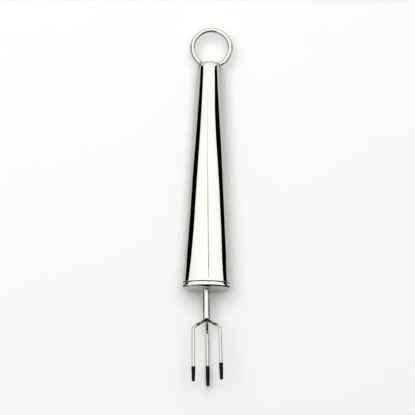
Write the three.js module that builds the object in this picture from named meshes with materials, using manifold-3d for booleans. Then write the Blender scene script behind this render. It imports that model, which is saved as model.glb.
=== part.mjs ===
// Potato peeling fork: a hollow tapered steel handle with a wire hanging loop at its narrow end,
// and a short rod with three pointed wire tines at its wide end, each tine under a push-on guard.
// The tool lies along Y on the flat of its handle, loop towards +Y and tines towards -Y.

import * as THREE from 'three';
import { mergeVertices } from 'three/addons/utils/BufferGeometryUtils.js';
import Module from 'manifold-3d';

// Driving dimensions, in millimetres and degrees.

// Handle shell: a straight taper from a squared oval at the fork end to a round, closed loop end.
// Squareness is the oval's exponent: 2 would be a plain ellipse.
const HANDLE_LENGTH = 128.7;
const WIDE_END_WIDTH = 26.6;
const WIDE_END_DEPTH = 18;
const WIDE_END_SQUARENESS = 2.5;
const NARROW_END_DIAMETER = 15;
const HANDLE_WALL = 0.8;
const SHOULDER_RADIUS = 3.8;
const HANDLE_CROWN = 0.7;

// End cap: a pressed cup, flush with the shell, whose spigot stands inside the shell.
const CAP_SKIRT = 2.6;
const CAP_CROWN = 0.6;
const CAP_EDGE_RADIUS = 1.3;
const CAP_WALL = 1;
const SPIGOT_LENGTH = 4;

// Hanging loop: one wire bent to an open ring, its two legs let into the handle's shoulders.
const LOOP_WIRE = 2.8;
const LOOP_RADIUS = 10.8;
const LEG_ANGLE = 45;
const LEG_SPREAD = 6.2;
const LEG_END_OFFSET = 2;
const LOOP_LEAN = 5.4;

// Shank: a solid rod with an upset collar that bears on the inside of the cap. It is set slightly
// upwards, so that the tines clear the table, and leans and rolls a little to one side.
const SHANK_DIAMETER = 4;
const SHANK_REACH = 16.9;
const COLLAR_DIAMETER = 7;
const COLLAR_THICKNESS = 1.6;
const SHANK_TAIL = 6;
const FORK_PITCH = 4;
const FORK_LEAN = 1.6;
const FORK_ROLL = 1.9;

// Tines: wires that spread from the rod's end, bend to run along it and are ground to points.
const TINE_WIRE = 1.7;
const TINE_CIRCLE_RADIUS = 8.5;
const TINE_SPREAD_DROP = 5.2;
const TINE_BEND_RADIUS = 2.4;
const TINE_REACH = 34;
const POINT_LENGTH = 4.5;
const POINT_RADIUS = 0.12;

// Tip guards: soft tubes pushed over the points. Grip is the length on the full wire,
// and overhang is how far the open end stands past the point. The tines are bent by hand, and splay
// is how far each leans outwards.
const GUARD_WALL = 0.2;
const GUARD_END_RADIUS = 0.9;
const TINES = [
  { side: 'left', angle: 150, splay: 0.5, grip: 1.5, overhang: 2.1 },
  { side: 'right', angle: 30, splay: 1.2, grip: 3.3, overhang: 1.5 },
  { side: 'lower', angle: 270, splay: 0.2, grip: 4.7, overhang: 2 },
];

// Clearances: seams and welded seats, and the running fit of a guard on its tine.
const SEAM_GAP = 0.3;
const GUARD_CLEARANCE = 0.08;

// Facet counts.
const HANDLE_SIDES = 48;
const ROUND_SIDES = 24;
const WIRE_SIDES = 12;
const ARC_STEPS = 5;
const LOOP_ARC_STEPS = 16;

const { degToRad } = THREE.MathUtils;
const wasm = await Module();
wasm.setup();

const steel = new THREE.MeshStandardMaterial({ color: 0xd6d5d1, roughness: 0.08, metalness: 1 });
const wireSteel = new THREE.MeshStandardMaterial({ color: 0xcfcecb, roughness: 0.16, metalness: 1 });
const blackPvc = new THREE.MeshStandardMaterial({ color: 0x0d0d0e, roughness: 0.45, metalness: 0 });

// A closed three.js geometry as a solid for cutting and joining.
function toSolid(geometry) {
  const bare = geometry.clone();
  bare.deleteAttribute('normal');
  bare.deleteAttribute('uv');
  const merged = mergeVertices(bare, 1e-5);
  const corners = merged.index.array;
  const triVerts = [];
  for (let i = 0; i < corners.length; i += 3) {
    const [a, b, c] = corners.slice(i, i + 3);
    if (a !== b && b !== c && c !== a) triVerts.push(a, b, c);
  }
  return new wasm.Manifold(new wasm.Mesh({
    numProp: 3,
    vertProperties: merged.attributes.position.array,
    triVerts: Uint32Array.from(triVerts),
  }));
}

function toGeometry(solid) {
  const { vertProperties, triVerts } = solid.getMesh();
  const geometry = new THREE.BufferGeometry();
  geometry.setAttribute('position', new THREE.Float32BufferAttribute(vertProperties, 3));
  geometry.setIndex(Array.from(triVerts));
  geometry.computeVertexNormals();
  return geometry;
}

function namedMesh(name, geometry, material) {
  const mesh = new THREE.Mesh(geometry, material);
  mesh.name = name;
  return mesh;
}

// Circumradius of a polygon whose flats stand at the given radius, for holes round a round piece.
function holeRadius(radius, sides) {
  return radius / Math.cos(Math.PI / sides);
}

// A bent wire's centre line through the points of a flat path, with one extrusion step to each point.
class WireLine extends THREE.Curve {
  constructor(points) {
    super();
    this.points = points;
  }

  getPoint(t, target = new THREE.Vector3()) {
    const spans = this.points.length - 1;
    const span = Math.min(Math.floor(t * spans), spans - 1);
    const at = this.points[span].clone().lerp(this.points[span + 1], t * spans - span);
    return target.set(at.x, at.y, 0);
  }

  getUtoTmapping(u) {
    return u;
  }
}

function bentWire(points, radius) {
  const corners = [];
  for (let i = 0; i < WIRE_SIDES; i += 1) {
    const turn = (2 * Math.PI * i) / WIRE_SIDES;
    corners.push(new THREE.Vector2(radius * Math.cos(turn), radius * Math.sin(turn)));
  }
  return new THREE.ExtrudeGeometry(new THREE.Shape(corners), {
    steps: points.length - 1,
    extrudePath: new WireLine(points),
  });
}

// Half a side, so that a facet, not an edge, runs along the middle of the handle's underside.
const FIRST_TURN = Math.PI / HANDLE_SIDES;

// The handle's taper. Y runs from the joint with the cap (0) to the loop end (HANDLE_LENGTH).
function halfWidth(y) {
  return THREE.MathUtils.lerp(WIDE_END_WIDTH, NARROW_END_DIAMETER, y / HANDLE_LENGTH) / 2;
}

function halfDepth(y) {
  return THREE.MathUtils.lerp(WIDE_END_DEPTH, NARROW_END_DIAMETER, y / HANDLE_LENGTH) / 2;
}

// A point of the handle's section at y, set in by so much from its outer surface: the squared oval
// of the wide end, which turns into a circle towards the loop end.
function sectionPoint(y, inset, turn) {
  const power = 2 / THREE.MathUtils.lerp(WIDE_END_SQUARENESS, 2, y / HANDLE_LENGTH);
  const across = Math.sin(turn);
  const up = Math.cos(turn);
  return {
    x: (halfWidth(y) - inset) * Math.sign(across) * Math.abs(across) ** power,
    z: (halfDepth(y) - inset) * Math.sign(up) * Math.abs(up) ** power,
  };
}

// A solid along the handle's axis, from rings set in by so much from the handle's outer surface.
// A lathe lays out the rings, and their points are then moved onto the handle's section.
function ovalSolid(startY, rings, endY) {
  const profile = rings.map(({ y, inset }) => new THREE.Vector2(halfWidth(y) - inset, y));
  profile.unshift(new THREE.Vector2(0, startY));
  profile.push(new THREE.Vector2(0, endY));
  const geometry = new THREE.LatheGeometry(profile, HANDLE_SIDES, FIRST_TURN);
  const position = geometry.attributes.position;
  for (let i = 0; i < position.count; i += 1) {
    const ring = rings[(i % profile.length) - 1];
    if (ring) {
      const side = Math.floor(i / profile.length) % HANDLE_SIDES;
      const turn = FIRST_TURN + (2 * Math.PI * side) / HANDLE_SIDES;
      const { x, z } = sectionPoint(ring.y, ring.inset, turn);
      position.setX(i, x);
      position.setZ(i, z);
    }
  }
  return toSolid(geometry);
}

// Rings of the rounded loop end, for the outside (wall 0) or the inside of the shell.
const shoulderY = HANDLE_LENGTH - HANDLE_CROWN - SHOULDER_RADIUS;

function shoulderRings(wall) {
  const radius = SHOULDER_RADIUS - wall;
  const rings = [];
  for (let i = 0; i <= ARC_STEPS; i += 1) {
    const turn = (Math.PI / 2) * (i / ARC_STEPS);
    rings.push({ y: shoulderY + radius * Math.sin(turn), inset: wall + radius * (1 - Math.cos(turn)) });
  }
  return rings;
}

// Hanging loop, drawn about the centre of the handle's end with Y along the handle.
const legTurn = degToRad(LEG_ANGLE);
const loopCentreY = (LOOP_RADIUS - LEG_SPREAD * Math.cos(legTurn)) / Math.sin(legTurn);
const legEndY = (LEG_END_OFFSET - LEG_SPREAD) / Math.tan(legTurn);
const loopPath = new THREE.Path();
loopPath.moveTo(-LEG_END_OFFSET, legEndY);
loopPath.lineTo(-LOOP_RADIUS * Math.cos(legTurn), loopCentreY - LOOP_RADIUS * Math.sin(legTurn));
loopPath.absarc(0, loopCentreY, LOOP_RADIUS, Math.PI + legTurn, -legTurn, true);
loopPath.lineTo(LEG_END_OFFSET, legEndY);
const loopLine = loopPath.getPoints(LOOP_ARC_STEPS);
const hangingLoop = namedMesh('hanging_loop', bentWire(loopLine, LOOP_WIRE / 2), steel);
hangingLoop.position.set(0, HANDLE_LENGTH, 0);
hangingLoop.rotation.z = -degToRad(LOOP_LEAN);
hangingLoop.updateMatrix();

// Handle shell: a drawn taper, open at the wide end, with a hole in each shoulder for a leg.
const shellOutside = ovalSolid(0, [{ y: 0, inset: 0 }, ...shoulderRings(0)], HANDLE_LENGTH);
const shellInside = ovalSolid(
  -SPIGOT_LENGTH,
  [{ y: -SPIGOT_LENGTH, inset: HANDLE_WALL }, ...shoulderRings(HANDLE_WALL)],
  HANDLE_LENGTH - HANDLE_WALL,
);
const legHole = bentWire(loopLine, holeRadius(LOOP_WIRE / 2 + SEAM_GAP, WIRE_SIDES));
legHole.applyMatrix4(hangingLoop.matrix);
const shellSolid = shellOutside.subtract(shellInside).subtract(toSolid(legHole));
const handleShell = namedMesh('handle_shell', toGeometry(shellSolid), steel);

// Handle end cap: skirt flush with the shell, rounded edge, crowned face and a spigot inside.
const capFaceY = -SEAM_GAP - CAP_SKIRT;
const capApexY = capFaceY - CAP_CROWN;
const spigotInset = HANDLE_WALL + SEAM_GAP;

// Fork: everything on the rod, drawn from the middle of the cap's face with the points towards -Y.
const fork = new THREE.Group();
fork.position.set(0, capApexY, 0);
fork.rotation.set(-degToRad(FORK_PITCH), -degToRad(FORK_ROLL), degToRad(FORK_LEAN), 'ZXY');
fork.updateMatrix();

function capRings() {
  const rings = [];
  const crownSpan = halfDepth(capFaceY) - CAP_EDGE_RADIUS;
  for (let i = 1; i < ARC_STEPS; i += 1) {
    const outward = i / ARC_STEPS;
    const inset = CAP_EDGE_RADIUS + crownSpan * (1 - outward);
    rings.push({ y: capFaceY - CAP_CROWN * (1 - outward ** 2), inset });
  }
  for (let i = 0; i <= ARC_STEPS; i += 1) {
    const turn = (Math.PI / 2) * (i / ARC_STEPS);
    const y = capFaceY + CAP_EDGE_RADIUS * (1 - Math.cos(turn));
    rings.push({ y, inset: CAP_EDGE_RADIUS * (1 - Math.sin(turn)) });
  }
  rings.push({ y: -SEAM_GAP, inset: 0 });
  rings.push({ y: -SEAM_GAP, inset: spigotInset });
  rings.push({ y: SPIGOT_LENGTH, inset: spigotInset });
  return rings;
}

const capPocketFloorY = capFaceY + CAP_WALL;
const capPocket = ovalSolid(
  capPocketFloorY,
  [
    { y: capPocketFloorY, inset: spigotInset + CAP_WALL },
    { y: 2 * SPIGOT_LENGTH, inset: spigotInset + CAP_WALL },
  ],
  2 * SPIGOT_LENGTH,
);
const shankHole = new THREE.CylinderGeometry(
  holeRadius(SHANK_DIAMETER / 2 + SEAM_GAP, ROUND_SIDES),
  holeRadius(SHANK_DIAMETER / 2 + SEAM_GAP, ROUND_SIDES),
  4 * (CAP_CROWN + CAP_WALL),
  ROUND_SIDES,
);
shankHole.applyMatrix4(fork.matrix);
const capSolid = ovalSolid(capApexY, capRings(), SPIGOT_LENGTH)
  .subtract(capPocket)
  .subtract(toSolid(shankHole));
const handleEndCap = namedMesh('handle_end_cap', toGeometry(capSolid), steel);

// Shank: the rod, with its collar just inside the cap's wall, clear of it also where it slants.
const collarSlant = (COLLAR_DIAMETER / 2) * Math.sin(degToRad(FORK_PITCH));
const collarY = CAP_CROWN + CAP_WALL + SEAM_GAP + collarSlant;
const shankOutline = [
  [0, -SHANK_REACH],
  [SHANK_DIAMETER / 2, -SHANK_REACH],
  [SHANK_DIAMETER / 2, collarY],
  [COLLAR_DIAMETER / 2, collarY],
  [COLLAR_DIAMETER / 2, collarY + COLLAR_THICKNESS],
  [SHANK_DIAMETER / 2, collarY + COLLAR_THICKNESS],
  [SHANK_DIAMETER / 2, collarY + COLLAR_THICKNESS + SHANK_TAIL],
  [0, collarY + COLLAR_THICKNESS + SHANK_TAIL],
].map(([x, y]) => new THREE.Vector2(x, y));
fork.add(namedMesh('shank', new THREE.LatheGeometry(shankOutline, ROUND_SIDES), wireSteel));

// A tine lies in a plane of its own, where X is the distance from the rod's axis. It runs out from the
// rod's end to a corner, and from there on to its tip.
const tineCorner = new THREE.Vector2(TINE_CIRCLE_RADIUS, -SEAM_GAP - TINE_SPREAD_DROP);

function pastCorner(splay, length) {
  return new THREE.Vector2(Math.sin(splay), -Math.cos(splay)).multiplyScalar(length).add(tineCorner);
}

function tineTip(splay) {
  return pastCorner(splay, TINE_REACH - SEAM_GAP - TINE_SPREAD_DROP);
}

function tineLine(splay) {
  const slant = Math.atan2(TINE_CIRCLE_RADIUS, TINE_SPREAD_DROP);
  const bendSetback = TINE_BEND_RADIUS * Math.tan((slant - splay) / 2);
  const bendStart = pastCorner(slant, -bendSetback);
  const bendEnd = pastCorner(splay, bendSetback);
  const bendX = bendEnd.x - TINE_BEND_RADIUS * Math.cos(splay);
  const bendY = bendEnd.y - TINE_BEND_RADIUS * Math.sin(splay);
  const tip = tineTip(splay);
  const path = new THREE.Path();
  path.moveTo(-TINE_WIRE, TINE_WIRE / Math.tan(slant) - SEAM_GAP);
  path.lineTo(bendStart.x, bendStart.y);
  path.absarc(bendX, bendY, TINE_BEND_RADIUS, slant, splay, true);
  path.lineTo(tip.x, tip.y);
  return path.getPoints(ARC_STEPS);
}

// The room that one tine has at the rod's end, so that the roots meet in mitres and seat on the rod.
function tineSector() {
  const halfAngle = Math.PI / TINES.length;
  const apex = SEAM_GAP / 2 / Math.sin(halfAngle);
  const span = 2 * (TINE_CIRCLE_RADIUS + TINE_WIRE);
  const outline = new THREE.Shape();
  outline.moveTo(apex, 0);
  outline.lineTo(apex + span, -span * Math.tan(halfAngle));
  outline.lineTo(apex + span, span * Math.tan(halfAngle));
  const sector = new THREE.ExtrudeGeometry(outline, { depth: 2 * TINE_REACH, bevelEnabled: false });
  sector.rotateX(Math.PI / 2);
  sector.translate(0, -SEAM_GAP, 0);
  return sector;
}

// The ring of metal that grinding takes off to leave the point, drawn from the tip.
function pointGrind() {
  const slope = (TINE_WIRE / 2 - POINT_RADIUS) / POINT_LENGTH;
  const lowY = -POINT_RADIUS / slope / 2;
  const highY = (TINE_WIRE - POINT_RADIUS) / slope;
  const outline = [
    new THREE.Vector2(TINE_WIRE, lowY),
    new THREE.Vector2(TINE_WIRE, highY),
    new THREE.Vector2(POINT_RADIUS / 2, lowY),
    new THREE.Vector2(TINE_WIRE, lowY),
  ];
  return new THREE.LatheGeometry(outline, WIRE_SIDES);
}

function tineSolid(splay) {
  const tip = tineTip(splay);
  const grind = pointGrind().rotateZ(splay).translate(tip.x, tip.y, 0);
  return toSolid(bentWire(tineLine(splay), TINE_WIRE / 2))
    .intersect(toSolid(tineSector()))
    .subtract(toSolid(grind));
}

// A guard's tube, from its open end at Y 0: it narrows where the point inside it does.
function guardTube(grip, overhang) {
  const bore = holeRadius(TINE_WIRE / 2 + GUARD_CLEARANCE, WIRE_SIDES);
  const taper = overhang + POINT_LENGTH;
  const outline = [
    [GUARD_END_RADIUS, 0],
    [bore + GUARD_WALL, taper],
    [bore + GUARD_WALL, taper + grip],
    [bore, taper + grip],
    [bore, taper],
    [GUARD_END_RADIUS - GUARD_WALL, 0],
    [GUARD_END_RADIUS, 0],
  ].map(([x, y]) => new THREE.Vector2(x, y));
  return new THREE.LatheGeometry(outline, WIRE_SIDES);
}

for (const { side, angle, splay, grip, overhang } of TINES) {
  const lean = degToRad(splay);
  const place = new THREE.Group();
  place.position.set(0, -SHANK_REACH, 0);
  place.rotation.y = -degToRad(angle);
  place.add(namedMesh(`tine_${side}`, toGeometry(tineSolid(lean)), wireSteel));
  const guard = namedMesh(`tip_guard_${side}`, guardTube(grip, overhang), blackPvc);
  const tip = tineTip(lean);
  guard.position.set(tip.x, tip.y, 0);
  guard.rotation.z = lean;
  guard.translateY(-overhang);
  place.add(guard);
  fork.add(place);
}

// The tool is tipped so that the flat along the handle's underside is level.
const tool = new THREE.Group();
const undersideRise = sectionPoint(0, 0, FIRST_TURN).z - sectionPoint(shoulderY, 0, FIRST_TURN).z;
tool.rotation.x = -Math.atan2(undersideRise, shoulderY);
tool.add(handleShell, handleEndCap, hangingLoop, fork);

// Origin at the middle of the tool's box, on the surface that it lies on.
const potatoFork = new THREE.Group();
potatoFork.add(tool);
potatoFork.updateMatrixWorld(true);
const box = new THREE.Box3().setFromObject(potatoFork, true);
const middle = box.getCenter(new THREE.Vector3());
tool.position.set(-middle.x, -middle.y, -box.min.z);
potatoFork.updateMatrixWorld(true);

export default potatoFork;
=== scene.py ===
"""Potato peeling fork: a mirror-polished hollow handle with a wire loop, and three guarded wire tines."""

import math

import bmesh
import bpy
from mathutils import Matrix, Vector


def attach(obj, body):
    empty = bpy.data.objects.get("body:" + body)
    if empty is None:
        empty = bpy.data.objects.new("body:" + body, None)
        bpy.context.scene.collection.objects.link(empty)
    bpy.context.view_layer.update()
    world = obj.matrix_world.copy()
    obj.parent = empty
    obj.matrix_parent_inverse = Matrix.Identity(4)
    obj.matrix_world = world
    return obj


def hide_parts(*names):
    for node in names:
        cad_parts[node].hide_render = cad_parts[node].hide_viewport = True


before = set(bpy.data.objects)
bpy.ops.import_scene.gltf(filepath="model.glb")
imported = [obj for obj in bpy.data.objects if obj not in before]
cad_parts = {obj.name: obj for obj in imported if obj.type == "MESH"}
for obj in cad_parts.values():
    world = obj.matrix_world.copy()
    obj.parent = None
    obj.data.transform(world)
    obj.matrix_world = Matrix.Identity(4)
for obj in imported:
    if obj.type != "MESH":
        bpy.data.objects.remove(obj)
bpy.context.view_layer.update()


# Handle shell: the grip, a stainless tube drawn to a taper, pressed to a squared oval at its open
# wide end and closed in a rounded dome at its narrow end. It is buffed to a mirror all over.
SHELL_LENGTH = 128.7
WIDE_WIDTH, WIDE_DEPTH, WIDE_SQUARENESS = 26.6, 18.0, 2.5
NARROW_DIAMETER = 15.0
SHELL_WALL = 0.8
SHOULDER_ROUNDING, SHOULDER_ROUNDING_INSIDE = 3.8, 3
DOME_RISE = 0.7
DOME_FLAT_RADIUS, DOME_ROUNDING = 3.2, 2.6
LIP_ROUNDING = 0.12
JOINT_ROUNDING = 0.35
SHELL_SIDES = 224
RING_SPACING = 1.6
ROUNDING_STEPS = 8

# The handle is modelled in millimetres along Y, with the open end at 0, then laid on the table.
OPEN_END_PLACE = (0, -0.04646842, 0.00898397)
HANDLE_TILT = math.radians(-0.66803)
MILLIMETRE = 0.001
HANDLE_PLACE = (
    Matrix.Translation(OPEN_END_PLACE)
    @ Matrix.Rotation(HANDLE_TILT, 4, "X")
    @ Matrix.Scale(MILLIMETRE, 4)
)


def half_width(y):
    return (WIDE_WIDTH + (NARROW_DIAMETER - WIDE_WIDTH) * y / SHELL_LENGTH) / 2


def half_depth(y):
    return (WIDE_DEPTH + (NARROW_DIAMETER - WIDE_DEPTH) * y / SHELL_LENGTH) / 2


def turn_profile(corners, sides):
    """Turns a profile about the Y axis, as on a lathe. A corner is its radius, Y and rounding."""
    bm = bmesh.new()
    points = [bm.verts.new((radius, y, 0)) for radius, y, rounding in corners]
    for pair in zip(points, points[1:]):
        bm.edges.new(pair)
    for point, (radius, y, rounding) in zip(points, corners):
        if rounding:
            bmesh.ops.bevel(
                bm, geom=[point], offset=rounding, offset_type="OFFSET", affect="VERTICES",
                segments=ROUNDING_STEPS, profile=0.5, material=-1,
            )
    for edge in [e for e in bm.edges if e.calc_length() > 2 * RING_SPACING]:
        bmesh.ops.subdivide_edges(bm, edges=[edge], cuts=int(edge.calc_length() / RING_SPACING))
    bmesh.ops.spin(
        bm, geom=bm.verts[:] + bm.edges[:], cent=(0, 0, 0), axis=(0, 1, 0),
        angle=2 * math.pi, steps=sides, use_merge=True,
    )
    bmesh.ops.remove_doubles(bm, verts=bm.verts, dist=1e-4)
    bmesh.ops.recalc_face_normals(bm, faces=bm.faces)
    return bm


def press_oval(bm):
    """Presses turned rings to the handle's section: a squared oval that becomes round along Y."""
    for vert in bm.verts:
        x, y, z = vert.co
        radius = math.hypot(x, z)
        if radius > 1e-6:
            squareness = WIDE_SQUARENESS + (2 - WIDE_SQUARENESS) * y / SHELL_LENGTH
            across = math.copysign(abs(x / radius) ** (2 / squareness), x)
            up = math.copysign(abs(z / radius) ** (2 / squareness), z)
            vert.co.x = radius * across
            vert.co.z = radius * up * half_depth(y) / half_width(y)


def finish_piece(bm, name, place, material, node, body):
    """Lays a modelled piece in its place and lets it stand for its CAD node."""
    bm.transform(place)
    mesh = bpy.data.meshes.new(name)
    bm.to_mesh(mesh)
    bm.free()
    mesh.shade_smooth()
    mesh.materials.append(material)
    piece = bpy.data.objects.new(name, mesh)
    bpy.context.scene.collection.objects.link(piece)
    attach(piece, body)
    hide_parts(node)


def linear(hex_colour):
    """An sRGB hex colour as linear RGBA."""
    channels = [int(hex_colour[i : i + 2], 16) / 255 for i in (1, 3, 5)]
    return [c / 12.92 if c <= 0.04045 else ((c + 0.055) / 1.055) ** 2.4 for c in channels] + [1]


def add_node(tree, kind, links=(), sockets=(), **settings):
    """Adds a node with its settings, its sockets' own values, and links into its sockets."""
    node = tree.nodes.new(kind)
    for name, value in settings.items():
        setattr(node, name, value)
    for name, value in sockets:
        node.inputs[name].default_value = value
    for name, source in links:
        tree.links.new(source, node.inputs[name])
    return node


# Mirror-buffed stainless steel: buffing leaves hairlines along the handle that only soften the
# mirror a little, and handling leaves faint cloudy patches where it is a touch less bright.
HAIRLINE_WIDTH, HAIRLINE_LENGTH = 0.0004, 0.03
CLOUD_SIZE = 0.018
mirror_steel = bpy.data.materials.new("mirror_buffed_stainless_steel")
mirror_steel.use_nodes = True
tree = mirror_steel.node_tree
tree.nodes.clear()
place = add_node(tree, "ShaderNodeTexCoord").outputs["Object"]
along = add_node(
    tree, "ShaderNodeMapping", [("Vector", place)],
    [("Scale", (1 / HAIRLINE_WIDTH, 1 / HAIRLINE_LENGTH, 1 / HAIRLINE_WIDTH))],
)
hairlines = add_node(
    tree, "ShaderNodeTexNoise", [("Vector", along.outputs["Vector"])],
    [("Scale", 1.0), ("Detail", 3.0), ("Roughness", 0.6)],
)
clouds = add_node(
    tree, "ShaderNodeTexNoise", [("Vector", place)],
    [("Scale", 1 / CLOUD_SIZE), ("Detail", 4.0), ("Roughness", 0.55)],
)
wear = add_node(
    tree, "ShaderNodeMath",
    [(0, hairlines.outputs["Fac"]), (1, clouds.outputs["Fac"])], operation="MULTIPLY",
)
gloss = add_node(
    tree, "ShaderNodeMapRange", [("Value", wear.outputs["Value"])],
    [("From Min", 0.1), ("From Max", 0.5), ("To Min", 0.025), ("To Max", 0.075)],
)
tint = add_node(
    tree, "ShaderNodeMix", [("Factor", clouds.outputs["Fac"])], data_type="RGBA",
)
tint.inputs["A"].default_value = linear("#bbb9b5")
tint.inputs["B"].default_value = linear("#c3c1bd")
lines = add_node(
    tree, "ShaderNodeBump", [("Height", hairlines.outputs["Fac"])],
    [("Strength", 0.15), ("Distance", 0.000004)],
)
steel = add_node(
    tree, "ShaderNodeBsdfPrincipled",
    [
        ("Base Color", tint.outputs["Result"]),
        ("Roughness", gloss.outputs["Result"]),
        ("Normal", lines.outputs["Normal"]),
    ],
    [("Metallic", 1.0)],
)
add_node(tree, "ShaderNodeOutputMaterial", [("Surface", steel.outputs["BSDF"])])

shell = turn_profile(
    [
        (0, SHELL_LENGTH, 0),
        (DOME_FLAT_RADIUS, SHELL_LENGTH - DOME_RISE / 3, DOME_ROUNDING),
        (half_width(SHELL_LENGTH), SHELL_LENGTH - DOME_RISE, SHOULDER_ROUNDING),
        (half_width(0), 0, JOINT_ROUNDING),
        (half_width(0) - SHELL_WALL, 0, LIP_ROUNDING),
        (
            half_width(SHELL_LENGTH) - SHELL_WALL,
            SHELL_LENGTH - DOME_RISE - SHELL_WALL,
            SHOULDER_ROUNDING_INSIDE,
        ),
        (0, SHELL_LENGTH - SHELL_WALL, 0),
    ],
    SHELL_SIDES,
)
press_oval(shell)
finish_piece(
    shell, "polished_handle_shell", HANDLE_PLACE, mirror_steel, "handle_shell", "fork"
)


# Hanging loop: one length of round stainless wire, bent to an open ring whose two straight legs run
# into the handle's shoulders and are welded there. It is polished with the handle.
LOOP_WIRE_RADIUS = 1.4
LOOP_RADIUS = 10.8
LEG_ANGLE = math.radians(45)
LEG_SPREAD = 6.2
LEG_INSIDE = 2.4
LOOP_LEAN = math.radians(-5.4)
WIRE_SIDES = 32
LOOP_BEND_STEPS = 120
LOOP_PLACE = (
    HANDLE_PLACE
    @ Matrix.Translation((0, SHELL_LENGTH, 0))
    @ Matrix.Rotation(LOOP_LEAN, 4, "Z")
)


def start_wire(bm, radius, at, along):
    """The cut end of a round wire, as a ring of edges square to the wire."""
    turn = Vector((0, 0, 1)).rotation_difference(along).to_matrix().to_4x4()
    ring = bmesh.ops.create_circle(
        bm, radius=radius, segments=WIRE_SIDES, matrix=Matrix.Translation(at) @ turn
    )
    return list({edge for vert in ring["verts"] for edge in vert.link_edges})


def pull_wire(bm, ring, by, width=1.0):
    """Pulls the ring out straight, and draws it down to a share of its width."""
    made = bmesh.ops.extrude_edge_only(bm, edges=ring)["geom"]
    verts = [g for g in made if isinstance(g, bmesh.types.BMVert)]
    bmesh.ops.translate(bm, verts=verts, vec=by)
    middle = sum((v.co for v in verts), Vector()) / len(verts)
    bmesh.ops.scale(bm, verts=verts, vec=(width,) * 3, space=Matrix.Translation(-middle))
    return [g for g in made if isinstance(g, bmesh.types.BMEdge)]


def bend_wire(bm, ring, centre, axis, angle, steps):
    """Bends the wire on from the ring, round an axis."""
    verts = list({vert for edge in ring for vert in edge.verts})
    made = bmesh.ops.spin(bm, geom=verts + ring, cent=centre, axis=axis, angle=angle, steps=steps)
    return [g for g in made["geom_last"] if isinstance(g, bmesh.types.BMEdge)]


def close_wire(bm, *rings):
    """Closes the wire's two ends and turns its faces outwards."""
    for ring in rings:
        bmesh.ops.edgeloop_fill(bm, edges=ring)
    bmesh.ops.recalc_face_normals(bm, faces=bm.faces)


loop_centre = Vector((0, (LOOP_RADIUS - LEG_SPREAD * math.cos(LEG_ANGLE)) / math.sin(LEG_ANGLE), 0))
leg_top = loop_centre + Vector((-math.cos(LEG_ANGLE), -math.sin(LEG_ANGLE), 0)) * LOOP_RADIUS
leg_out = Vector((-math.sin(LEG_ANGLE), math.cos(LEG_ANGLE), 0))
leg_length = (leg_top.x + LEG_INSIDE) / leg_out.x
leg_in_again = Vector((leg_out.x, -leg_out.y, 0))

loop = bmesh.new()
first_end = start_wire(loop, LOOP_WIRE_RADIUS, leg_top - leg_out * leg_length, leg_out)
ring = pull_wire(loop, first_end, leg_out * leg_length)
ring = bend_wire(
    loop, ring, loop_centre, (0, 0, -1), math.pi + 2 * LEG_ANGLE, LOOP_BEND_STEPS
)
last_end = pull_wire(loop, ring, leg_in_again * leg_length)
close_wire(loop, first_end, last_end)
finish_piece(
    loop, "hanging_loop_wire", LOOP_PLACE, mirror_steel, "hanging_loop", "fork"
)


# End cap: a shallow pressed cup with a rolled edge and a slightly crowned face. Its spigot is pushed
# into the wide end of the shell, which leaves a fine joint line all round, and it is buffed with it.
JOINT_GAP = 0.3
CAP_SKIRT, CAP_CROWN, CAP_ROUNDING = 2.6, 0.6, 1.3
CROWN_RADIUS, CROWN_SHARE, CROWN_ROUNDING = 5.5, 0.8, 4
CAP_WALL, CAP_ROUNDING_INSIDE = 1.0, 0.5
SPIGOT_LENGTH = 4.0
cap_face = -JOINT_GAP - CAP_SKIRT
spigot_radius = half_width(0) - SHELL_WALL - JOINT_GAP
cap = turn_profile(
    [
        (0, cap_face - CAP_CROWN, 0),
        (CROWN_RADIUS, cap_face - CAP_CROWN * CROWN_SHARE, CROWN_ROUNDING),
        (half_width(cap_face), cap_face, CAP_ROUNDING),
        (half_width(-JOINT_GAP), -JOINT_GAP, JOINT_ROUNDING),
        (spigot_radius, -JOINT_GAP, 0),
        (spigot_radius, SPIGOT_LENGTH, LIP_ROUNDING),
        (spigot_radius - CAP_WALL, SPIGOT_LENGTH, LIP_ROUNDING),
        (spigot_radius - CAP_WALL, cap_face + CAP_WALL, CAP_ROUNDING_INSIDE),
        (0, cap_face + CAP_WALL, 0),
    ],
    SHELL_SIDES,
)
press_oval(cap)
finish_piece(
    cap, "polished_end_cap", HANDLE_PLACE, mirror_steel, "handle_end_cap", "fork"
)


# Shank: a bright-drawn stainless rod that comes out through the middle of the cap, brazed to it with
# a small fillet, and faced square at its end, where the three tines are welded on.
SHANK_RADIUS = 2.0
SHANK_REACH = 16.9
SHANK_INSIDE = 8.0
FILLET, FILLET_SINK = 0.35, 0.05
ROD_EDGE = 0.2
ROD_SIDES = 64
FORK_LEAN, FORK_PITCH, FORK_ROLL = math.radians(1.6), math.radians(-4), math.radians(-1.9)
SHANK_PLACE = (
    HANDLE_PLACE
    @ Matrix.Translation((0, cap_face - CAP_CROWN, 0))
    @ Matrix.Rotation(FORK_LEAN, 4, "Z")
    @ Matrix.Rotation(FORK_PITCH, 4, "X")
    @ Matrix.Rotation(FORK_ROLL, 4, "Y")
)

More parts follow.
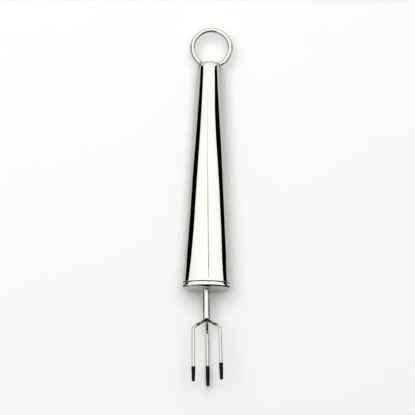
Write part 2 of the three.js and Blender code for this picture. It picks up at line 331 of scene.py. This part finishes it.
# Bright-drawn stainless steel: the die leaves fine scores along the rod, drawn here wider apart
# than real ones so that they show, and a surface a little duller than the buffed handle.
SCORE_WIDTH, SCORE_LENGTH = 0.0003, 0.012
drawn_steel = bpy.data.materials.new("bright_drawn_stainless_steel")
drawn_steel.use_nodes = True
tree = drawn_steel.node_tree
tree.nodes.clear()
place = add_node(tree, "ShaderNodeTexCoord").outputs["Object"]
along = add_node(
    tree, "ShaderNodeMapping", [("Vector", place)],
    [("Scale", (1 / SCORE_WIDTH, 1 / SCORE_LENGTH, 1 / SCORE_WIDTH))],
)
scores = add_node(
    tree, "ShaderNodeTexNoise", [("Vector", along.outputs["Vector"])],
    [("Scale", 1.0), ("Detail", 4.0), ("Roughness", 0.65)],
)
gloss = add_node(
    tree, "ShaderNodeMapRange", [("Value", scores.outputs["Fac"])],
    [("From Min", 0.3), ("From Max", 0.7), ("To Min", 0.06), ("To Max", 0.14)],
)
tint = add_node(tree, "ShaderNodeMix", [("Factor", scores.outputs["Fac"])], data_type="RGBA")
tint.inputs["A"].default_value = linear("#b4b2ae")
tint.inputs["B"].default_value = linear("#c0bebb")
lines = add_node(
    tree, "ShaderNodeBump", [("Height", scores.outputs["Fac"])],
    [("Strength", 0.2), ("Distance", 0.000008)],
)
steel = add_node(
    tree, "ShaderNodeBsdfPrincipled",
    [
        ("Base Color", tint.outputs["Result"]),
        ("Roughness", gloss.outputs["Result"]),
        ("Normal", lines.outputs["Normal"]),
    ],
    [("Metallic", 1.0)],
)
add_node(tree, "ShaderNodeOutputMaterial", [("Surface", steel.outputs["BSDF"])])

shank = turn_profile(
    [
        (0, SHANK_INSIDE, 0),
        (SHANK_RADIUS, SHANK_INSIDE, ROD_EDGE),
        (SHANK_RADIUS + FILLET, CAP_CROWN, 0),
        (SHANK_RADIUS + FILLET, FILLET_SINK, 0),
        (SHANK_RADIUS, -FILLET, FILLET),
        (SHANK_RADIUS, -SHANK_REACH, ROD_EDGE),
        (0, -SHANK_REACH, 0),
    ],
    ROD_SIDES,
)
finish_piece(
    shank, "drawn_shank_rod", SHANK_PLACE, drawn_steel, "shank", "fork"
)


# Tines: three bright wires, butted together on the end of the rod and welded, that spread at equal
# angles, are bent by hand to run on past it, and are ground to a point under the guards.
TINE_RADIUS = 0.85
TINE_CIRCLE = 8.5
SPREAD_DROP = 5.2
ROOT_GAP = 0.3
TINE_BEND = 2.4
TINE_REACH = 34.0
POINT_LENGTH, POINT_RADIUS = 4.5, 0.12
TINE_BEND_STEPS = 16
TINES = {"left": (150, 0.5), "right": (30, 1.2), "lower": (270, 0.2)}

slant = math.atan2(TINE_CIRCLE, SPREAD_DROP)
spread = Vector((math.sin(slant), -math.cos(slant), 0))
corner = Vector((TINE_CIRCLE, -ROOT_GAP - SPREAD_DROP, 0))
root = Vector((0, -ROOT_GAP, 0))
tip_places = {}
for side, (angle, splay) in TINES.items():
    lean = math.radians(splay)
    onward = Vector((math.sin(lean), -math.cos(lean), 0))
    outward = Vector((math.cos(lean), math.sin(lean), 0))
    setback = TINE_BEND * math.tan((slant - lean) / 2)
    bend_end = corner + onward * setback
    straight = TINE_REACH + corner.y - setback - POINT_LENGTH
    tine_place = (
        SHANK_PLACE
        @ Matrix.Translation((0, -SHANK_REACH, 0))
        @ Matrix.Rotation(math.radians(-angle), 4, "Y")
    )
    tip_places[side] = (
        tine_place
        @ Matrix.Translation(bend_end + onward * (straight + POINT_LENGTH))
        @ Matrix.Rotation(lean, 4, "Z")
    )
    tine = bmesh.new()
    root_end = start_wire(tine, TINE_RADIUS, root, spread)
    ring = pull_wire(tine, root_end, corner - spread * setback - root)
    ring = bend_wire(
        tine, ring, bend_end - outward * TINE_BEND, (0, 0, -1), slant - lean, TINE_BEND_STEPS
    )
    ring = pull_wire(tine, ring, onward * straight)
    point = pull_wire(tine, ring, onward * POINT_LENGTH, POINT_RADIUS / TINE_RADIUS)
    close_wire(tine, root_end, point)
    finish_piece(
        tine, f"tine_wire_{side}", tine_place, drawn_steel, f"tine_{side}", "fork"
    )


# Tip guards: short lengths of soft black PVC tube, cut by hand and pushed over the points. They are
# a little fuller where they grip the wire, and draw in past the point to an open end.
GUARD_BORE = 0.93
GUARD_WALL = 0.2
GUARD_END_RADIUS = 0.9
GUARD_SHOULDER, GUARD_SHOULDER_INSIDE = 1.5, 0.5
CUT_EDGE, CUT_EDGE_INSIDE = 0.08, 0.06
CUT_SLOPE = 0.02
GUARD_SIDES = 48
GUARDS = {"left": (1.5, 2.1), "right": (3.3, 1.5), "lower": (4.7, 2.0)}

# Extruded soft PVC: near black with a satin skin. The die leaves it faintly dimpled, and what stands
# up between the dimples is a touch lighter and duller.
DIMPLE_SIZE = 0.0006
black_pvc = bpy.data.materials.new("extruded_soft_black_pvc")
black_pvc.use_nodes = True
tree = black_pvc.node_tree
tree.nodes.clear()
place = add_node(tree, "ShaderNodeTexCoord").outputs["Object"]
dimples = add_node(
    tree, "ShaderNodeTexNoise", [("Vector", place)],
    [("Scale", 1 / DIMPLE_SIZE), ("Detail", 3.0), ("Roughness", 0.6)],
)
tint = add_node(tree, "ShaderNodeMix", [("Factor", dimples.outputs["Fac"])], data_type="RGBA")
tint.inputs["A"].default_value = linear("#040404")
tint.inputs["B"].default_value = linear("#0c0c0c")
gloss = add_node(
    tree, "ShaderNodeMapRange", [("Value", dimples.outputs["Fac"])],
    [("From Min", 0.3), ("From Max", 0.7), ("To Min", 0.38), ("To Max", 0.55)],
)
skin = add_node(
    tree, "ShaderNodeBump", [("Height", dimples.outputs["Fac"])],
    [("Strength", 0.3), ("Distance", 0.00003)],
)
pvc = add_node(
    tree, "ShaderNodeBsdfPrincipled",
    [
        ("Base Color", tint.outputs["Result"]),
        ("Roughness", gloss.outputs["Result"]),
        ("Normal", skin.outputs["Normal"]),
    ],
    [("IOR", 1.53), ("Specular IOR Level", 0.1)],
)
add_node(tree, "ShaderNodeOutputMaterial", [("Surface", pvc.outputs["BSDF"])])

for side, (grip, overhang) in GUARDS.items():
    taper = overhang + POINT_LENGTH
    guard = turn_profile(
        [
            (GUARD_END_RADIUS - GUARD_WALL, CUT_SLOPE, CUT_EDGE_INSIDE),
            (GUARD_END_RADIUS, 0, CUT_EDGE),
            (GUARD_BORE + GUARD_WALL, taper, GUARD_SHOULDER),
            (GUARD_BORE + GUARD_WALL, taper + grip, CUT_EDGE),
            (GUARD_BORE, taper + grip, CUT_EDGE_INSIDE),
            (GUARD_BORE, taper, GUARD_SHOULDER_INSIDE),
            (GUARD_END_RADIUS - GUARD_WALL, CUT_SLOPE, 0),
        ],
        GUARD_SIDES,
    )
    finish_piece(
        guard, f"tip_guard_tube_{side}", tip_places[side] @ Matrix.Translation((0, -overhang, 0)),
        black_pvc, f"tip_guard_{side}", f"guard_{side}",
    )


# Table: the matt white board that the tool lies on. Its edges are out of the picture, and far enough
# away to stay out of views from the other sides too.
TABLE_SIZE = 3.0
white_board = bpy.data.materials.new("matt_white_board")
white_board.use_nodes = True
tree = white_board.node_tree
tree.nodes.clear()
board = add_node(
    tree, "ShaderNodeBsdfPrincipled",
    sockets=[("Base Color", linear("#f7f7f6")), ("Roughness", 0.9), ("Specular IOR Level", 0.1)],
)
add_node(tree, "ShaderNodeOutputMaterial", [("Surface", board.outputs["BSDF"])])
bm = bmesh.new()
bmesh.ops.create_grid(bm, x_segments=1, y_segments=1, size=TABLE_SIZE)
mesh = bpy.data.meshes.new("table")
bm.to_mesh(mesh)
bm.free()
mesh.materials.append(white_board)
table = bpy.data.objects.new("table", mesh)
bpy.context.scene.collection.objects.link(table)


# Black cards: flags that the camera does not see and only mirrors show, as the dark lines along the
# polished steel, and black mats on the table, seen only in mirrors, as painted dark reflections beside
# the loop, shank and tines. The side cards follow those lines, and a thin strip overhead gives the fine
# line down the handle. The dark wall behind the camera shows in nothing, and only shades.
SIDE_CARD_X = 0.063
LEFT_CARD = [
    (-0.14, 0.0, 0.016), (-0.047, 0.0, 0.016), (-0.044, 0.0, 0.037), (-0.03, 0.003, 0.039),
    (-0.016, 0.002, 0.051), (0.004, 0.008, 0.06), (0.034, 0.0095, 0.061), (0.062, 0.018, 0.067),
    (0.083, 0.021, 0.067), (0.098, 0.0195, 0.061), (0.12, 0.012, 0.047),
]
RIGHT_CARD = [
    (-0.14, 0.0, 0.042), (-0.075, 0.0, 0.042), (-0.07, 0.0, 0.028), (-0.047, 0.0, 0.028),
    (-0.044, 0.006, 0.044), (-0.03, 0.011, 0.047), (-0.016, 0.008, 0.054), (0.0, 0.012, 0.053),
    (0.03, 0.018, 0.062), (0.048, 0.021, 0.073), (0.068, 0.0305, 0.089), (0.088, 0.0375, 0.101),
    (0.104, 0.04, 0.088), (0.125, 0.029, 0.07),
]
FRONT_CARD_X, FRONT_CARD_Y, FRONT_CARD_TOP = (-0.25, 0.8), -0.5, 2.4
WALL_Y, WALL_TOP, WALL_HALF = -0.6, 2.4, 3.0
# Table mats: black sheets on the table that only mirrors show. They paint dark reflections into the steel
# beside the loop, shank and tines.
MAT_HEIGHT = 0.0004
PAINTED_REFLECTION_MATS = [
    [(-0.07, 0.094, 0.115), (-0.0155, 0.094, 0.115)],
    [(0.017, 0.094, 0.115), (0.07, 0.094, 0.115)],
    [(-0.063, -0.056, -0.036), (-0.02, -0.064, -0.049)],
    [(0.02, -0.064, -0.049), (0.063, -0.056, -0.038)],
    [(-0.063, -0.13, -0.068), (-0.016, -0.13, -0.068)],
    [(0.016, -0.13, -0.068), (0.063, -0.13, -0.068)],
    [(-0.06, -0.5, -0.13), (0.06, -0.5, -0.13)],
    [(-0.008, -0.13, -0.112), (0.008, -0.13, -0.112)],
]
SCRIM_SEAM = [(0.016, 0.02), (0.0, 0.092), (-0.048, 0.163)]
SEAM_WIDTH, SEAM_HEIGHT = 0.0045, 0.3
black_card = bpy.data.materials.new("black_flocked_card")
black_card.use_nodes = True
tree = black_card.node_tree
tree.nodes.clear()
card = add_node(
    tree, "ShaderNodeBsdfPrincipled",
    sockets=[("Base Color", linear("#050505")), ("Roughness", 1.0), ("Specular IOR Level", 0.0)],
)
add_node(tree, "ShaderNodeOutputMaterial", [("Surface", card.outputs["BSDF"])])


def stand_card(name, outline, shades=False):
    """Sets up a card from pairs of corners along it. Mirrors show it, unless it only shades."""
    bm = bmesh.new()
    pairs = [(bm.verts.new(low), bm.verts.new(high)) for low, high in outline]
    for (low_a, high_a), (low_b, high_b) in zip(pairs, pairs[1:]):
        bm.faces.new((low_a, low_b, high_b, high_a))
    mesh = bpy.data.meshes.new(name)
    bm.to_mesh(mesh)
    bm.free()
    mesh.materials.append(black_card)
    flag = bpy.data.objects.new(name, mesh)
    flag.visible_camera = False
    flag.visible_diffuse = shades
    flag.visible_shadow = shades
    flag.visible_glossy = not shades
    flag.visible_transmission = False
    bpy.context.scene.collection.objects.link(flag)


for name, x, edges in (("card_left", -SIDE_CARD_X, LEFT_CARD), ("card_right", SIDE_CARD_X, RIGHT_CARD)):
    stand_card(name, [((x, y, low), (x, y, high)) for y, low, high in edges])
stand_card(
    "card_front", [((x, FRONT_CARD_Y, 0), (x, FRONT_CARD_Y, FRONT_CARD_TOP)) for x in FRONT_CARD_X]
)
stand_card(
    "dark_wall", [((x, WALL_Y, 0), (x, WALL_Y, WALL_TOP)) for x in (-WALL_HALF, WALL_HALF)], shades=True
)
# Painted dark reflections: black mats on the table that only mirrors see.
for mat in PAINTED_REFLECTION_MATS:
    stand_card("painted_reflection_mat", [((x, near, MAT_HEIGHT), (x, far, MAT_HEIGHT)) for x, near, far in mat])
stand_card(
    "scrim_seam",
    [((x - SEAM_WIDTH / 2, y, SEAM_HEIGHT), (x + SEAM_WIDTH / 2, y, SEAM_HEIGHT)) for x, y in SCRIM_SEAM],
)


# Light: a wide scrim that only mirrors show, as the white of the polished steel, a soft lamp overhead
# that lights the table and shows in no mirror, and a white room, full white to the camera and mirrors.
SCRIM_SIZE, SCRIM_SPREAD = (4.6, 3.2), math.radians(156)
SCRIM_PLACE = Vector((-0.05, 1.35, 0.75))
SCRIM_POWER = 34.0
LAMP_SIZE = (1.45, 2.0)
LAMP_PLACE = Vector((-0.2, 0.25, 1.3))
LAMP_POWER = 18.8
ROOM_FILL = 0.62


def hang_lamp(name, size, power, place, aim):
    """Hangs a soft rectangular lamp that points along aim."""
    lamp = bpy.data.lights.new(name, "AREA")
    lamp.shape = "RECTANGLE"
    lamp.size, lamp.size_y = size
    lamp.energy = power
    holder = bpy.data.objects.new(name, lamp)
    holder.matrix_world = Matrix.Translation(place) @ (-aim).to_track_quat("Z", "Y").to_matrix().to_4x4()
    holder.visible_camera = False
    bpy.context.scene.collection.objects.link(holder)
    return holder


scrim = hang_lamp("scrim", SCRIM_SIZE, SCRIM_POWER, SCRIM_PLACE, Vector((0, 0, -1)))
scrim.data.spread = SCRIM_SPREAD
scrim.visible_diffuse = False
lamp = hang_lamp("overhead_lamp", LAMP_SIZE, LAMP_POWER, LAMP_PLACE, Vector((0, 0, -1)))
lamp.visible_glossy = False

room = bpy.data.worlds.new("white_room")
bpy.context.scene.world = room
room.use_nodes = True
tree = room.node_tree
tree.nodes.clear()
ray = add_node(tree, "ShaderNodeLightPath").outputs
seen = add_node(
    tree, "ShaderNodeMath", [(0, ray["Is Camera Ray"]), (1, ray["Is Glossy Ray"])],
    operation="MAXIMUM",
)
seen = add_node(
    tree, "ShaderNodeMath", [(0, seen.outputs["Value"]), (1, ray["Is Transmission Ray"])],
    operation="MAXIMUM",
)
level = add_node(
    tree, "ShaderNodeMapRange", [("Value", seen.outputs["Value"])],
    [("To Min", ROOM_FILL), ("To Max", 1.0)],
)
sky = add_node(
    tree, "ShaderNodeBackground", [("Strength", level.outputs["Result"])],
    [("Color", (1, 1, 1, 1))],
)
add_node(tree, "ShaderNodeOutputWorld", [("Surface", sky.outputs["Background"])])


# Camera: nearly overhead, from the tines' side, with a long lens and turned slightly so that the
# handle leans as it does in the picture.
ELEVATION = math.radians(77)
ROLL = math.radians(0.9)
DISTANCE = 1.3
TARGET = Vector((0, -0.00294, 0.01))
PICTURE_PIXELS, PIXEL_SIZE = 415, 0.0005624
SENSOR_WIDTH = 36
lens = bpy.data.cameras.new("camera")
lens.sensor_width = SENSOR_WIDTH
lens.lens = SENSOR_WIDTH * DISTANCE / (PICTURE_PIXELS * PIXEL_SIZE)
camera = bpy.data.objects.new("camera", lens)
back = Vector((0, -math.cos(ELEVATION), math.sin(ELEVATION)))
camera.matrix_world = (
    Matrix.Translation(TARGET + back * DISTANCE)
    @ back.to_track_quat("Z", "Y").to_matrix().to_4x4()
    @ Matrix.Rotation(ROLL, 4, "Z")
)
bpy.context.scene.collection.objects.link(camera)
bpy.context.scene.camera = camera
bpy.context.scene.view_settings.view_transform = "Standard"
